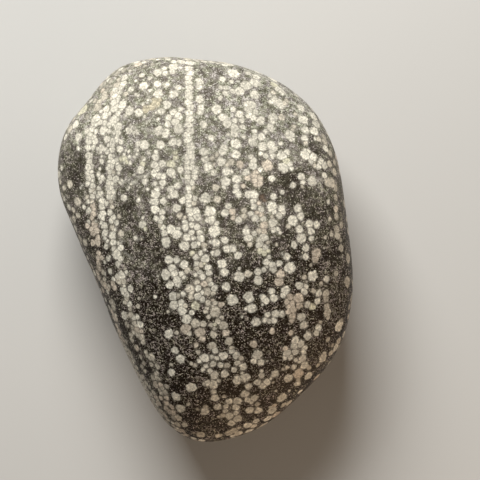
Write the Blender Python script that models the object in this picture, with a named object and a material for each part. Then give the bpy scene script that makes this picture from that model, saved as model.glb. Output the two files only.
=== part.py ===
"""A water-worn pebble of snowflake obsidian, lying on its flatter side.

The stone is one solid. Its outline is the one seen from above, with +X to the right and +Y away
from the viewer. It rests on a small worn flat at z = 0, and the origin is the middle of its base.
"""

import math

import bmesh
import bpy
import numpy as np
from mathutils import Vector

MM = 0.001

# The outline from above, anticlockwise from the right: points on its widest line, in mm
OUTLINE_MM = (
    (18.0, 1.2), (17.5, 5.4), (16.9, 9.5), (15.9, 13.1), (14.0, 16.8), (11.0, 19.7),
    (7.6, 21.7), (3.1, 23.2), (-1.2, 23.7), (-4.4, 24.0), (-7.6, 23.7), (-10.0, 23.1),
    (-11.6, 22.1), (-13.1, 20.6), (-14.9, 18.1), (-16.8, 15.9), (-18.0, 13.2), (-18.4, 10.2),
    (-18.1, 7.0), (-16.9, 3.8), (-14.9, -0.9), (-12.9, -5.5), (-10.9, -10.6), (-8.6, -15.4),
    (-6.4, -19.5), (-3.9, -22.5), (-0.8, -24.1), (3.5, -23.7), (7.8, -21.8), (12.0, -18.1),
    (15.4, -14.4), (17.4, -10.8), (18.3, -6.6), (18.4, -2.8),
)

# Heights above the base: the widest line, and the crown
WAIST_MM = 9.0
CROWN_MM = 19.0
# How deep the underside would reach if the base were not worn flat
UNDERSIDE_DEPTH_MM = 9.35

# How full the shoulders are on the right, far, left and near sides: 2 is an ellipse, and more is boxier
TOP_FULLNESS = (2.7, 2.6, 2.5, 2.5)
UNDER_FULLNESS = (2.7, 2.75, 2.8, 2.65)

# The crown stands a little to the right of the outline's middle
CROWN_SHIFT_MM = (1.3, 0.8)

# Broad flats worn on the stone: the direction that each faces, as azimuth and elevation in degrees,
# the depth worn away, and how softly it runs into the rest, both in mm
WORN_FLATS = (
    (186.0, 58.0, 1.5, 0.5),
    (134.0, 50.0, 0.7, 0.6),
    (-78.0, 52.0, 0.9, 0.9),
    (62.0, 62.0, 0.7, 0.8),
    (-20.0, 56.0, 0.5, 0.8),
    (-150.0, -54.0, 1.1, 0.9),
    (35.0, -48.0, 1.5, 0.9),
    (105.0, -58.0, 1.0, 0.8),
)

SPHERE_LEVELS = 5
SPLINE_STEPS = 24


def closed_spline(points, steps):
    """Points along a smooth closed curve through the given points."""
    count = len(points)
    curve = []
    for i in range(count):
        before, start, end, after = (Vector(points[(i + k) % count]) for k in (-1, 0, 1, 2))
        for step in range(steps):
            t = step / steps
            curve.append(
                start
                + 0.5 * t * (end - before)
                + t * t * (before - 2.5 * start + 2 * end - 0.5 * after)
                + t**3 * (1.5 * (start - end) + 0.5 * (after - before))
            )
    return curve


def edge_distances():
    """Angles and distances from the middle to the outline, in radians and mm, sorted by angle."""
    curve = closed_spline(OUTLINE_MM, SPLINE_STEPS)
    angles = np.array([math.atan2(p.y, p.x) for p in curve])
    distances = np.array([p.length for p in curve])
    order = np.argsort(angles)
    return angles[order], distances[order]


def by_side(values, angle):
    """A value between those of the right, far, left and near sides, blended round the stone."""
    right, far, left, near = values
    across, along = math.cos(angle), math.sin(angle)
    sideways = right if across > 0 else left
    lengthways = far if along > 0 else near
    return sideways * across**2 + lengthways * along**2


def unworn_points(directions):
    """The rounded body in mm from its middle, at a sphere's vertices, before the flats are worn on it."""
    edge = edge_distances()
    points = []
    for direction in directions:
        angle = math.atan2(direction.y, direction.x)
        outwards = math.hypot(direction.x, direction.y)
        upper = direction.z > 0
        fullness = by_side(TOP_FULLNESS if upper else UNDER_FULLNESS, angle)
        spread = outwards ** (2 / fullness) * np.interp(angle, *edge, period=2 * math.pi)
        rise = abs(direction.z) ** (2 / fullness)
        height = rise * (CROWN_MM - WAIST_MM) if upper else -rise * UNDERSIDE_DEPTH_MM
        lean = rise**2 if upper else 0.0
        points.append((
            spread * math.cos(angle) + lean * CROWN_SHIFT_MM[0],
            spread * math.sin(angle) + lean * CROWN_SHIFT_MM[1],
            height,
        ))
    return np.array(points)


def wear_flats(points):
    """The points, each ground back to every flat that it stands past."""
    supports = []
    for azimuth_deg, elevation_deg, depth, softness in WORN_FLATS:
        azimuth, elevation = math.radians(azimuth_deg), math.radians(elevation_deg)
        level = math.cos(elevation)
        facing = np.array((
            level * math.cos(azimuth), level * math.sin(azimuth), math.sin(elevation)
        ))
        supports.append((facing, (points @ facing).max() - depth, softness))
    for facing, distance, softness in supports:
        past = points @ facing - distance
        ground = softness * np.log1p(np.exp(past / softness))
        points = points - ground[:, None] * facing
    return points


def make_stone():
    shape = bmesh.new()
    bmesh.ops.create_icosphere(shape, subdivisions=SPHERE_LEVELS, radius=1.0)
    directions = [vertex.co.normalized() for vertex in shape.verts]
    points = wear_flats(unworn_points(directions))
    points[:, 2] = np.maximum(points[:, 2] + WAIST_MM, 0.0)
    middle = (points.min(axis=0) + points.max(axis=0)) / 2
    points[:, :2] -= middle[:2]
    for vertex, point in zip(shape.verts, points):
        vertex.co = Vector(point) * MM
    mesh = bpy.data.meshes.new("stone")
    shape.to_mesh(mesh)
    shape.free()
    mesh.shade_smooth()
    stone = bpy.data.objects.new("stone", mesh)
    bpy.context.scene.collection.objects.link(stone)
    return stone


def obsidian():
    """Dark volcanic glass with its polish worn off to a fine matt."""
    material = bpy.data.materials.new("obsidian")
    material.use_nodes = True
    shader = material.node_tree.nodes["Principled BSDF"]
    shader.inputs["Base Color"].default_value = (0.09, 0.088, 0.08, 1.0)
    shader.inputs["Roughness"].default_value = 0.55
    shader.inputs["Metallic"].default_value = 0.0
    return material


def main():
    for obj in list(bpy.data.objects):
        bpy.data.objects.remove(obj)
    stone = make_stone()
    stone.data.materials.append(obsidian())


main()
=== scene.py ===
"""Looks of a water-worn snowflake obsidian pebble, in a plain soft studio.

The stone's fine surface, the pale mineral spots that grew in rows in its dark glass, and the
floor, light and camera. Sizes are in millimetres until they reach a mesh, which is in metres.
"""

import math
import random
from functools import partialmethod, reduce

import bmesh
import bpy
import numpy as np
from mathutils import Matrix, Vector, kdtree, noise
from mathutils.bvhtree import BVHTree


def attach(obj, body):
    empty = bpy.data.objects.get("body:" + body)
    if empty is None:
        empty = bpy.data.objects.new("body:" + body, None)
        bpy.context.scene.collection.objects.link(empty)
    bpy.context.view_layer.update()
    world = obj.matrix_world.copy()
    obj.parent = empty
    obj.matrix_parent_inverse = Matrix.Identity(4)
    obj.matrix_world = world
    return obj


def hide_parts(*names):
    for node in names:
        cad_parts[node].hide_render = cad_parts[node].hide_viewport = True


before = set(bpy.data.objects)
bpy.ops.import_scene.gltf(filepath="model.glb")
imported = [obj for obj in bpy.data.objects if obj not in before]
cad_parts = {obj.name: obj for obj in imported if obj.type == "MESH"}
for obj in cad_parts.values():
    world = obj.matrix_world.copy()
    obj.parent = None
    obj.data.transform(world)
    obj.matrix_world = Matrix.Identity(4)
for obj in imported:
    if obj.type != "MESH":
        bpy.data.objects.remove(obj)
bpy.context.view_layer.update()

MM = 0.001
WAIST_MM = 9.0

# The camera looks straight down. The image, 480 pixels wide, spans 60 mm at the stone's widest line
IMAGE_PX = 480
IMAGE_MM = 60.0
MM_PER_PX = IMAGE_MM / IMAGE_PX
CAMERA_HEIGHT_MM = 250.0
VIEW_CENTRE_MM = (4.375, 1.25)

# The stone's fine surface
WELD_MM = 0.0005
SUBDIVISIONS = 2
VOXEL_MM = 0.245
SMOOTH_ROUNDS = 25
# Each round's share of the way towards the neighbours, and back
SMOOTH_STEPS = (0.6, -0.615)
# Wavelength and height in mm
UNDULATION = ((5.5, 0.07), (1.7, 0.022))
PIT_SEED = 11
PIT_COUNT = 170
PIT_RADIUS_MM = (0.35, 0.8)
PIT_DEPTH_MM = (0.02, 0.07)
# A knock's dimple: its place in pixels, and its radius and depth in mm
DIMPLE_PX = (263, 199)
DIMPLE_MM = (0.75, 0.16)

# The spots on the upper side: middle and radius, in pixels of the image
PALE_SPOTS = (
    # Top left
    (124.5, 77.5, 3), (123, 84, 3), (143.5, 85.5, 4), (141.5, 75, 2), (130.5, 89, 2.5), (122.5, 105, 3.8),
    (129.5, 111, 3.8), (138.5, 112.5, 3.8), (104.7, 115.7, 3), (96.5, 118, 3.6), (106, 109, 3),
    (114, 109, 3.5), (113.9, 119.6, 4), (94, 124, 2.6), (78.5, 137, 3.5), (103.5, 130.4, 3.6),
    (109, 131, 2.2), (118, 127, 3.7), (128.9, 130.6, 3), (134.6, 127.9, 1.6), (144.2, 144.8, 4.3),
    (138.6, 143.8, 2.8), (106.6, 139.3, 3), (112.5, 140.5, 2.6), (120.6, 141.6, 2.3), (111.7, 144.6, 3),
    (112, 149.4, 3), (120, 148.9, 2.8), (101.5, 148, 3.4), (89, 141, 3.3), (95, 141, 3), (88, 147.5, 3),
    (115, 90, 3), (114.5, 96, 3), (114, 102.5, 3), (118, 113.5, 2.6), (110, 124, 2.8), (89.5, 135, 2.8),
    (92, 129.5, 2.6), (100, 122.5, 2.4), (104.5, 123, 2.2), (120.8, 87.8, 2.4), (119.8, 92.4, 2.2),
    (118, 97.6, 2.4), (117.3, 101.5, 2), (117.2, 106, 2), (93, 120.6, 2.2), (95.6, 124.4, 2.2),
    (116.8, 119.3, 2.4), (112.4, 124.2, 2), (115, 126.4, 2), (118, 132.4, 2.6), (106.6, 130.2, 2),
    (109.6, 126.4, 1.7), (93, 127, 2.3), (87.2, 131, 2.5), (96, 131.4, 2.3), (125, 116.5, 1.5),
    (131.5, 126.4, 1.5), (129.8, 70.5, 1.3), (135.8, 80.6, 1.4), (117, 136.6, 2.2), (113.8, 132.6, 2),
    (101, 111.5, 1.6), (109.5, 113.6, 1.7), (121.5, 109, 1.6), (123.5, 100.5, 1.5), (138, 95.5, 1.5),
    (150, 78, 1.7), (150, 90.5, 1.5),
    # Flecks between the left rows
    (126, 150.3, 1.4), (137, 150, 1.7), (128.5, 151.5, 1.2), (124, 154.5, 1.6), (129.5, 156.5, 1.5),
    (135, 156.3, 2.1), (137, 154, 1.5), (143.3, 159.3, 2.1), (127.5, 160.3, 1.4), (124.5, 162.5, 1.4),
    (130, 163.3, 1.8), (148.5, 153, 1.5), (131.3, 183.5, 1.6), (129, 187.5, 1.3), (127.5, 189.5, 1.2),
    (121.5, 181.5, 2.3), (134.5, 174.6, 1.2), (145, 176.3, 1.6), (147.5, 189.3, 1.4), (131, 89.5, 2.3),
    (136, 94.5, 1.3), (124.6, 117, 1.3), (134.5, 128, 1.7), (136.5, 130.5, 1.3), (134, 132.5, 1.6),
    (131, 125.6, 1.4), (137.5, 133, 1.3), (158, 119.5, 1.4), (156.5, 112.5, 1.3), (148.3, 100, 1.5),
    (143, 104, 1.3), (144.5, 116.5, 1.1), (129, 107.5, 1.3),
    # Left flank
    (88.5, 155.5, 3.3), (89.5, 161.5, 2.8), (88.7, 167.5, 3.3), (88, 173, 3), (92, 175.5, 2.5),
    (88.5, 178, 3), (87.7, 183.5, 2.2), (92.5, 185.5, 3), (92.3, 196.5, 2.8), (88.6, 201.5, 2.1),
    (88.8, 210.5, 2.6), (84, 207, 1.8), (101.5, 161.5, 2.2), (98.5, 174.5, 2.2), (102.2, 178, 2.8),
    (99, 188, 2), (100.3, 193.5, 3), (98.2, 196, 2.2), (102.3, 201, 3.4), (102, 206.5, 3),
    (106.5, 203.5, 2.2), (103, 213.5, 3), (100.5, 216.5, 2.2), (103, 218, 2.5), (110.2, 212.5, 2.7),
    (104, 226, 3.2), (101.2, 223, 1.8), (105, 233, 3.3), (105, 238, 2.2), (106, 246.5, 2.5),
    (107.5, 152, 2.4), (110.7, 157, 3.1), (113, 162, 2.6), (110, 162, 2.4), (109, 167.3, 3.2),
    (111.5, 166.5, 2.8), (110, 171.5, 2.6), (110.2, 178, 2.8), (115.8, 179.2, 3.5), (109, 183, 3),
    (112, 183, 2.5), (108, 187.5, 2.6), (111, 187.5, 2.6), (109, 192, 2.6), (113, 192, 2.6),
    (109, 196.5, 2.6), (112.5, 197, 2.6), (113.5, 217.5, 2.8), (111, 221, 2.4), (116.5, 223, 2.3),
    (112.5, 235.6, 3.4), (113, 242.5, 3), (120.6, 247.5, 3), (118.8, 167.6, 2.9), (121, 182.2, 2.4),
    (116.3, 254.5, 4.4), (120, 258.5, 3), (117.8, 264, 3), (108, 258.8, 2.4), (109.8, 257, 1.8),
    (110, 271.5, 2.4), (113.4, 279, 2.2), (121.6, 275.3, 4), (107.5, 291.5, 1.8), (124, 286, 1.8),
    (130.6, 288.8, 3), (123.5, 291, 3.6), (126.2, 294.8, 3.4), (129.7, 304, 2.8), (124.7, 315.3, 3.4),
    (133.5, 317.5, 2.6), (137.5, 317, 2.4), (140.3, 324.4, 3.3), (78.3, 148.3, 1.8), (94, 137.4, 2.4),
    (93.2, 147, 2.4), (91, 155.6, 2), (91.6, 166, 2.2), (91.6, 172.2, 2.2), (92.5, 180.8, 1.8),
    (93.8, 191.6, 1.9), (91, 190.6, 2), (91.4, 200.6, 2.1), (92.6, 203.8, 2), (104.6, 149.2, 2.2),
    (98.4, 148.4, 1.7), (100.6, 152, 1.7), (101.5, 156.4, 1.3), (99.5, 169, 1.3), (99.6, 178, 1.8),
    (101, 181.6, 1.5), (99.8, 191.8, 1.5), (104.4, 201.2, 1.8), (113, 156, 2), (116.4, 160.2, 2),
    (113, 173.4, 2), (117, 163.6, 1.7), (118.5, 172.6, 1.6), (107.4, 188.8, 2), (113.4, 198, 1.8),
    (109, 144.6, 2), (117, 140.6, 1.8), (88.4, 137, 2.5), (95.5, 222, 1.8), (88.5, 221.5, 2),
    (114.5, 229, 1.9), (107.5, 241, 1.7), (113.5, 249, 2.6), (118, 243.5, 1.7), (104.5, 262, 1.6),
    (104.5, 273.5, 2), (117.5, 276.5, 2.4), (126.2, 272.4, 1.7),
    # Between the left flank and the middle
    (124, 197.8, 3), (138.5, 200, 1.8), (142.8, 224.7, 3.5), (143, 217.5, 1.3), (140.6, 170, 3.3),
    (145, 181.4, 2.6), (135.3, 237.9, 2.1), (129.7, 163.5, 1.1), (173.1, 66.9, 3.8), (158.1, 72.2, 3.8),
    (165, 72.8, 2.5), (172.2, 71.6, 2.6), (164, 68, 2), (181.3, 61.9, 2.8), (180.6, 67.8, 1.8),
    (173.8, 61.9, 2.2), (157.2, 84, 3.2), (166.6, 84.4, 2.8), (178.4, 87.5, 2.8), (158.1, 94, 4.3),
    (173.4, 93.8, 3.8), (166.9, 104.4, 3.8), (161.3, 111.6, 3.2), (173.1, 112.5, 3), (178.4, 116.6, 3.3),
    (168.4, 117.5, 2.6), (175.3, 121.9, 3.4), (180.3, 109.4, 2.5), (167.8, 124.7, 2.8),
    (178.4, 128.8, 4.6), (158.8, 130.6, 4.3), (165.3, 133.1, 4), (173.1, 142.5, 3.8), (178.4, 142.8, 3),
    (160, 144.4, 3.8), (156, 152.5, 2.2), (155.5, 157.2, 3.3), (154.6, 164.8, 3.4), (162.3, 163.5, 3.2),
    (157, 169.5, 2.4), (154, 173, 3.6), (159, 175.5, 3.2), (163, 177, 2.8), (162.8, 182.4, 2.8),
    (154.7, 183.5, 2), (162.3, 187.5, 1.5), (156.8, 189.8, 2.6), (155.3, 194, 4.2), (154.7, 202, 4),
    (163, 201, 3.1), (155, 209, 3.7), (162.2, 212, 2.8), (156.5, 218.5, 2.8), (162.3, 217.5, 2.4),
    (160.5, 221.5, 2.2), (162.8, 227.5, 2.6), (164, 233, 3), (166.1, 242.2, 4.6), (171, 229.6, 4),
    (176.6, 234, 4.2), (178.5, 229, 2.1), (171, 172.8, 4.1), (180.5, 169.9, 3.2), (174, 176.7, 1.3),
    (176.9, 185.6, 3), (171, 189, 3.3), (173.4, 193.8, 4), (169, 196.5, 1.7), (182.8, 200, 3.1),
    (176.5, 208, 3.6), (185, 222, 2.2), (185.6, 227.2, 3.4), (186.9, 237.5, 3.4), (184.4, 246, 4.6),
    (168.8, 259.7, 3.7), (176.4, 259.7, 3.3), (184, 264.6, 4), (171.8, 268.2, 3.9), (174, 273.2, 3.5),
    (165.7, 274.7, 4.7), (181.7, 274.3, 2.8), (183.7, 276.8, 2.2), (177, 280, 3.7), (178, 284.5, 2.8),
    (169.6, 285, 3.5), (183.3, 294, 2.6), (173.2, 296.3, 3.9), (173.9, 305.3, 4.5), (181.3, 303.3, 3.4),
    (182.2, 310.7, 4.3), (198, 288, 3.1), (197.8, 296.5, 3.3), (202.6, 299.4, 3), (192, 312.5, 2.6),
    (186.9, 319.3, 4.4), (157.6, 276, 1.0), (155.2, 296.6, 1.9),
    # The middle row
    (189.4, 62.8, 3.3), (188.8, 68.8, 3.2), (190, 73.4, 3.1), (188.4, 78.2, 3.2), (188.6, 82.6, 3),
    (189.4, 87.5, 3.2), (188.8, 92, 3.2), (188.8, 97, 3.3), (188.4, 102.2, 3.3), (189.8, 107.2, 3.4),
    (189.4, 113.1, 3.4), (189.4, 118.8, 3.6), (189.2, 124.8, 3.2), (190, 130.6, 3.6), (187.2, 134.6, 3),
    (188.3, 140, 3.6), (190.4, 145.8, 3.8), (190.5, 151, 3.6), (187, 157.3, 2.8), (191.5, 157, 3),
    (188, 162, 2.9), (191.7, 163, 2.9), (187.5, 167.8, 2.9), (192, 167.6, 2.7), (196.4, 168.6, 2),
    (187.5, 172.3, 2.7), (195, 171.8, 2.9), (187.5, 176.6, 2.9), (194.5, 177, 2.8), (188, 181.6, 2.6),
    (191.9, 182.4, 2.7), (188.3, 187.8, 2.7), (188.6, 192, 2.1), (188.8, 196.5, 3.1), (194.5, 198.5, 2.5),
    (189, 201, 2.8), (188.8, 204.7, 2.8), (188.8, 209.6, 2.9), (196, 211.4, 3.4), (190.5, 213.8, 2.7),
    (197, 216.8, 3.9), (191.7, 218.6, 2.4), (191.9, 225.2, 2.5), (197.3, 227, 3.1), (191.9, 232.6, 2.5),
    (199.8, 232.8, 2.7), (193.5, 237.8, 2.5), (200.9, 238.3, 3.3), (194.4, 244.5, 2.9), (196, 257.5, 2.9),
    (205.4, 258.7, 3.8), (197, 263.5, 2.7), (199.8, 272.4, 2.6), (208, 267.5, 3.1), (209, 272.6, 3.3),
    (202.3, 276.8, 2.9), (214.4, 288.2, 3.3), (211, 284, 2.6),
    # Right of the middle row
    (199.4, 81.9, 3.4), (199.1, 87, 2.8), (199.7, 98.8, 3.6), (200.9, 107.3, 2.8), (200, 112, 2.8),
    (203.4, 124.1, 3.5), (216.6, 109.4, 4.6), (220.6, 98.1, 2.2), (211.3, 137.5, 3), (204, 61.3, 2),
    (233.8, 73.1, 4.6), (224.4, 64.7, 2), (222.5, 78.8, 2.5), (221.3, 87.5, 2), (225.2, 87.7, 2.1),
    (225.6, 93.1, 2.5), (231.3, 81.3, 2), (239.4, 90.9, 4.1), (233.1, 91.3, 2.5), (245.9, 85, 4.4),
    (248.4, 73.4, 2), (222.8, 117.5, 4), (226.8, 123, 4.2), (233.1, 108.8, 2.3), (239.7, 114.4, 3.5),
    (241.9, 120.8, 2.5), (235, 120.6, 2.3), (234.4, 127.6, 3.7), (234.1, 133, 3.8), (242.5, 126.6, 2.3),
    (228.4, 134.4, 1.7), (235.6, 143.8, 4.5), (223.8, 148.1, 3.2), (243.8, 136.9, 2), (247.5, 103.8, 3.5),
    (248.1, 109, 3.6), (249.4, 115.6, 3), (203.8, 151.6, 3.6), (205.3, 159.8, 3.1), (207.9, 167.1, 3.7),
    (213.7, 172.7, 2.5), (222.2, 151.8, 3.2), (220.9, 161.3, 4), (235.6, 154.4, 4), (226.7, 171.8, 3.6),
    (231.3, 171.6, 1.8), (245.9, 172.5, 3.2), (236.6, 178.9, 3.9), (225.7, 181.9, 4.1), (224, 187, 1.9),
    (236.5, 186.5, 2.6), (236.3, 190.8, 2.8), (238.6, 194.2, 2.9), (248.2, 194.3, 3.3),
    (205.3, 198.3, 4.6), (209.6, 211.5, 4.8), (211.6, 219.4, 3.7), (207, 220, 2.2), (216.3, 223.4, 2.2),
    (214.3, 231.2, 5), (216.4, 242.8, 3.7), (210.3, 242.1, 1.7), (224.8, 240.2, 3.1), (226.3, 248.6, 3.6),
    (232.7, 248.2, 3.5), (224.4, 212.7, 3.4), (228.3, 206.3, 2.7), (238.9, 220.4, 3.2), (246.5, 228, 1.9),
    (246.5, 232, 3.3), (248, 237.6, 3.6), (212.4, 253.1, 2.1), (217, 252.6, 3.1), (237.7, 255.4, 3.5),
    (222.2, 264, 4.3), (224.4, 272.2, 3.9), (226.3, 287, 3.9), (239, 276.8, 4.5), (239.3, 268.6, 1.7),
    (232.3, 300, 4.9), (249, 297, 4.8), (251.9, 308.3, 4.2), (241.9, 316.7, 1.2), (246, 308.6, 1.8),
    (255.9, 322.1, 4.3),
    # Top right
    (256.2, 76.8, 3), (255.3, 83, 4.1), (254.6, 94.6, 4.1), (278.4, 88.6, 3.1), (281.9, 92.1, 3.1),
    (270, 95.6, 1.9), (274, 99, 3.1), (271.2, 102.2, 2.2), (278.8, 103.1, 3.9), (281.5, 106.2, 2.5),
    (300.9, 107.8, 3.2), (303.7, 119.4, 4.3), (305.3, 130, 3.4), (314.6, 131, 3.8), (316.4, 123.4, 3.6),
    (313.7, 116.2, 3.4), (304.7, 138.1, 2.9), (315.2, 138.7, 1.3), (325.5, 148.5, 2.8),
    (289.7, 134.8, 4.3), (291.6, 139, 2.5), (272.8, 117.8, 4), (272.5, 121.2, 2.6), (260.6, 120.5, 3.7),
    (255.4, 112, 2.4), (253.2, 117.5, 2.8), (251, 104.8, 4.3), (270, 127.2, 3), (271.6, 130.4, 1.9),
    (266, 131.8, 2.4), (254.6, 131.4, 2.2), (261.5, 136.8, 3.5), (254.8, 136.9, 2.6), (252.4, 142, 3.9),
    (262.5, 146.5, 3.8), (270.9, 145.2, 4), (273.8, 148.6, 2.8), (280.8, 143.6, 1.8), (261, 153.6, 2.1),
    (265.4, 155.7, 2.7), (272, 151.6, 2.6), (273, 155.7, 2.5), (251, 157, 2.3), (253.6, 160.6, 2.9),
    (252.9, 165.8, 3.4), (260.3, 169.5, 2.3), (282, 155.4, 4.4), (287, 151.8, 2.9), (283.4, 167, 4.8),
    (290, 164, 2.9), (291.5, 168.5, 2.1), (305.3, 154.3, 4.4), (313, 157.1, 3.5), (311.1, 161.6, 2.3),
    (308.4, 151.6, 2.3), (321, 161.8, 3.2), (318.4, 166.4, 2.6), (324.4, 165.4, 3.1), (301.4, 162.7, 0.9),
    (301.3, 176.9, 3.1), (303, 182.4, 2.6), (312.5, 180.9, 4.3), (293.1, 184.8, 2.8), (271.9, 178.7, 2.7),
    (282.2, 192.1, 2.1), (273.6, 196.3, 2.7), (324.4, 175.5, 2.6),
    # Right, below the shoulder
    (254, 194.8, 3.9), (253.5, 200.8, 2.9), (253.8, 206.6, 3), (261, 209.2, 2.9), (271.9, 206.8, 4.6),
    (274, 211.2, 2.5), (281.6, 208.4, 3.2), (283, 212, 2.3), (279, 215.9, 3), (297.8, 208.4, 3.4),
    (300.5, 216.4, 3.3), (292.8, 220.6, 4.5), (299.6, 229, 3.6), (301.5, 238, 4.5), (309.4, 224, 3.5),
    (311, 231, 3.4), (316.8, 224.4, 3.2), (311.7, 238.4, 2.5), (294, 245, 3.2), (305.9, 247.9, 3.5),
    (324.3, 248, 1.2), (328.4, 201.6, 1.9), (272.8, 223.2, 3.9), (273.8, 230, 2.7), (278, 229.5, 1.9),
    (279.8, 232.8, 1.7), (254, 233.3, 2.3), (263.9, 237.5, 3.4), (259, 240.2, 3), (259.2, 244.5, 3.3),
    (265.3, 248.2, 3.3), (255, 218, 3), (251, 214, 2.5), (263, 219.2, 2.8), (269, 257.2, 1.9),
    (266, 261.9, 3.1), (257.7, 271.7, 3.5), (264, 269.9, 2.5), (267, 267, 1.6), (272, 265.1, 3.3),
    (273.4, 269.2, 3.4), (279.4, 263.5, 2.9), (258.1, 280.2, 4.1), (290.2, 267.5, 5.1), (287, 256.8, 3.3),
    (305.6, 256.7, 3.1), (312.7, 275.6, 4.8), (326.5, 279, 3), (299.3, 285.4, 3.7), (304.2, 291.2, 3.5),
    (305.6, 287, 2.3), (285.4, 290.2, 4.3), (283, 295.2, 2.9), (271.6, 291.3, 3.2), (273.7, 298, 3.7),
    (262.7, 297.2, 3.2), (265.5, 300.6, 3.3), (262.5, 304.5, 1.5), (267.5, 315, 2.8), (265, 320, 2.9),
    (269.5, 321.5, 2.3), (275.3, 314, 3.6), (273.7, 320.8, 3.1), (282, 314.3, 3), (307.5, 304, 3.1),
    (317.5, 301, 2.9), (318.7, 292.9, 3.3), (301.4, 317.5, 3.8), (304, 325, 3.9), (307.9, 336, 4),
    (318.6, 327.8, 3.3), (316.7, 333, 2.9), (339.4, 325.7, 4.5), (295.6, 340.2, 3.9), (294.6, 346, 3.5),
    (301, 343.9, 3.5), (304.5, 348.3, 2.9),
    # Lower end
    (180.6, 359, 4.2), (175, 350.3, 3.5), (171.5, 372.5, 3.2), (191.3, 387.5, 4.8), (175.8, 396.8, 4),
    (180.6, 408.8, 4.1), (205, 411.6, 3.8), (184.4, 424.7, 2.8), (168.8, 334, 4), (170.4, 330.1, 1.3),
    (204.4, 358.1, 4.3), (199.5, 361, 2.5), (212, 357.3, 2.4), (216.8, 358, 2.3), (223.4, 356, 4),
    (213, 364, 2.9), (220.5, 365.1, 2.5), (206, 366, 2.4), (203, 369.5, 2.1), (210, 371, 2.9),
    (214.4, 375.2, 3.9), (225, 373.7, 3.6), (207.6, 383.4, 3.1), (204.6, 384, 2.2), (213, 384.6, 4.3),
    (218.5, 381, 2.1), (213.4, 391.6, 2.7), (215.2, 398.2, 3.9), (218, 407, 3.5), (229.2, 401.8, 3.4),
    (237.3, 401, 4.1), (235.6, 407.5, 3.4), (236, 412.9, 2.9), (225.8, 411, 2.3), (226, 406.5, 2.6),
    (237.6, 418.9, 3.7), (229.4, 416.3, 3.8), (231.2, 423.4, 3.3), (247.7, 425.4, 3.4),
    (236.4, 355.4, 3.6), (237.5, 363.4, 2.9), (234, 369.8, 2.7), (243.2, 367, 3.4), (245.3, 377.8, 4.4),
    (237, 380.4, 4.3), (242, 373, 1.9), (248.6, 387, 3.3), (244.8, 393.8, 3.7), (248, 400, 3.1),
    (249.8, 410, 3.6), (232, 350.8, 3), (215, 350.6, 3), (257.5, 355, 4.5), (254, 361, 2.9),
    (261.2, 362.6, 3.2), (267, 361, 1.2), (261.5, 371.5, 1.9), (261.7, 375.6, 2.7), (257.6, 382.3, 3.4),
    (266.6, 382.2, 3.6), (262.4, 385.8, 3.6), (270.5, 378.6, 1.7), (275, 374, 3.8), (254.6, 398.2, 3.7),
    (251.5, 402.6, 1.9), (258.3, 410.6, 3.5), (271.8, 410.5, 3.9), (270.5, 407.4, 1.7),
    (281.9, 397.8, 4.3), (287, 353.4, 4.1), (285, 357.6, 2.8), (290, 357.2, 2.8), (295, 352, 3.2),
    (303.4, 352, 3), (302.5, 358.4, 3.7), (295.8, 360, 2.2), (300, 361.6, 2.1), (294, 366.9, 2.7),
    (304.4, 365, 3.9), (308.4, 375.9, 3.5), (288.8, 378.1, 4.1), (297.5, 383.8, 2.7), (322.9, 358, 3.9),
    (324.4, 353.4, 2.1), (276, 391, 1.4), (289.4, 391, 1.3),
)
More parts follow.
